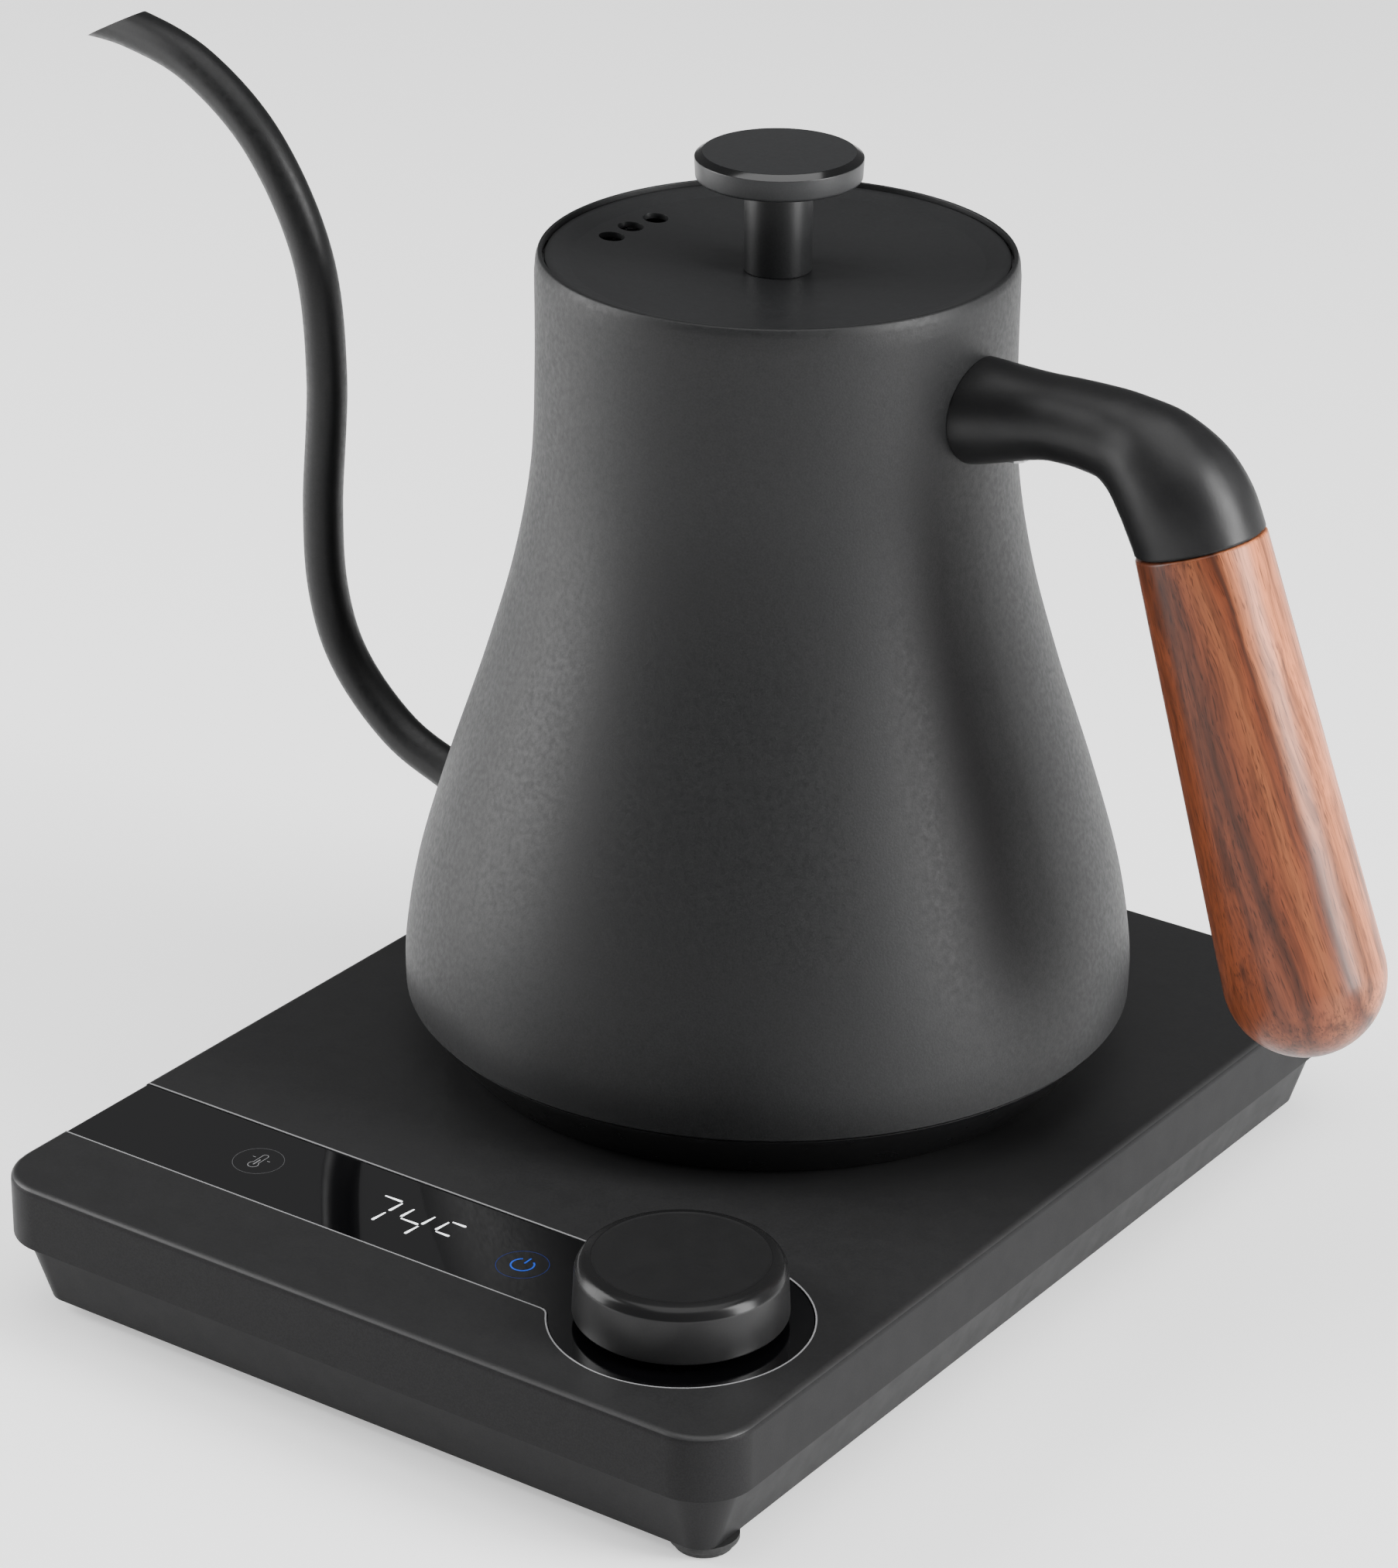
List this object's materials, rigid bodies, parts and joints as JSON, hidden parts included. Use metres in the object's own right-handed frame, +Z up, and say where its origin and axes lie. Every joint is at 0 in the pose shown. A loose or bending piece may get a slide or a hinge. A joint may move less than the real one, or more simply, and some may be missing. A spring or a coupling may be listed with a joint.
{
  "type": "electric kettle",
  "caption": "Gooseneck electric kettle with a wooden grip and lift-off lid, standing on a rectangular power base with a control strip and turning knob.",
  "frame": {"origin": "centre of the bounding box, on the surface the feet stand on", "axes": "+Z up, +X towards the handle and -X towards the spout tip, -Y towards the front with the control strip"},
  "size_m": [0.307, 0.2284, 0.2138],
  "materials": {
    "body_coat": "matte fine-textured powder coat",
    "base_plastic": "satin",
    "wall_plastic": "satin",
    "gloss_panel": "polished black",
    "knob_plastic": "satin with a glossy bevel",
    "black_plastic": "matte",
    "grip_wood": "satin lacquered dark walnut",
    "rubber": "matte",
    "silicone": "matte",
    "steel": "plain",
    "brass": "plain",
    "aluminium": "plain",
    "circuit_board": "solder mask",
    "component": "moulded case",
    "display_module": "lit segments behind the window"
  },
  "bodies": {
    "power_base": {"base_top_cover": "base_plastic", "base_bottom_cover": "wall_plastic", "display_window": "gloss_panel", "control_board": "circuit_board", "led_display": "display_module", "touch_spring_temperature": "steel", "touch_spring_power": "steel", "buzzer": "component", "encoder_body": "component", "encoder_nut": "steel", "power_board": "circuit_board", "power_relay": "component", "power_transformer": "component", "base_connector": "black_plastic", "contact_ring_inner": "brass", "contact_ring_outer": "brass", "cord_gland": "rubber", "foot_front_left": "rubber", "foot_front_right": "rubber", "foot_rear_left": "rubber", "foot_rear_right": "rubber", "base_screw_front_left": "steel", "base_screw_front_right": "steel", "base_screw_rear_left": "steel", "base_screw_rear_right": "steel"},
    "turn_knob": {"control_knob": "knob_plastic", "encoder_shaft": "steel"},
    "lift_pin": {"connector_pin": "brass"},
    "kettle": {"body_shell": "body_coat", "neck_collar": "steel", "vessel_floor": "steel", "diffuser_plate": "aluminium", "heating_element": "steel", "temperature_sensor": "component", "thermal_cutout": "component", "kettle_base_ring": "black_plastic", "kettle_bottom_cover": "black_plastic", "bottom_screw_1": "steel", "bottom_screw_2": "steel", "bottom_screw_3": "steel", "kettle_connector": "black_plastic", "spout": "body_coat", "handle_bracket": "steel", "handle_screw": "steel", "handle_arm": "black_plastic", "grip_washer": "rubber", "wood_grip": "grip_wood", "handle_rod": "steel"},
    "lid": {"lid_plate": "body_coat", "lid_cup": "black_plastic", "lid_seal": "silicone", "lid_stem": "body_coat", "lid_knob": "body_coat", "lid_screw": "steel"}
  },
  "joints": [
    {"name": "knob_turn", "type": "hinge", "parent": "power_base", "child": "turn_knob", "pos_m": [0.07081, -0.08025, 0.0355], "axis": [0, 0, 1], "continuous": true},
    {"name": "kettle_lift", "type": "slide", "parent": "power_base", "child": "lift_pin", "axis": [0, 0, 1], "range_m": [0, 0.06]},
    {"name": "kettle_swivel", "type": "hinge", "parent": "lift_pin", "child": "kettle", "pos_m": [0.01751, 0.02475, 0.036], "axis": [0, 0, 1], "continuous": true},
    {"name": "lid_lift", "type": "slide", "parent": "kettle", "child": "lid", "axis": [0, 0, 1], "range_m": [0, 0.04]}
  ]
}
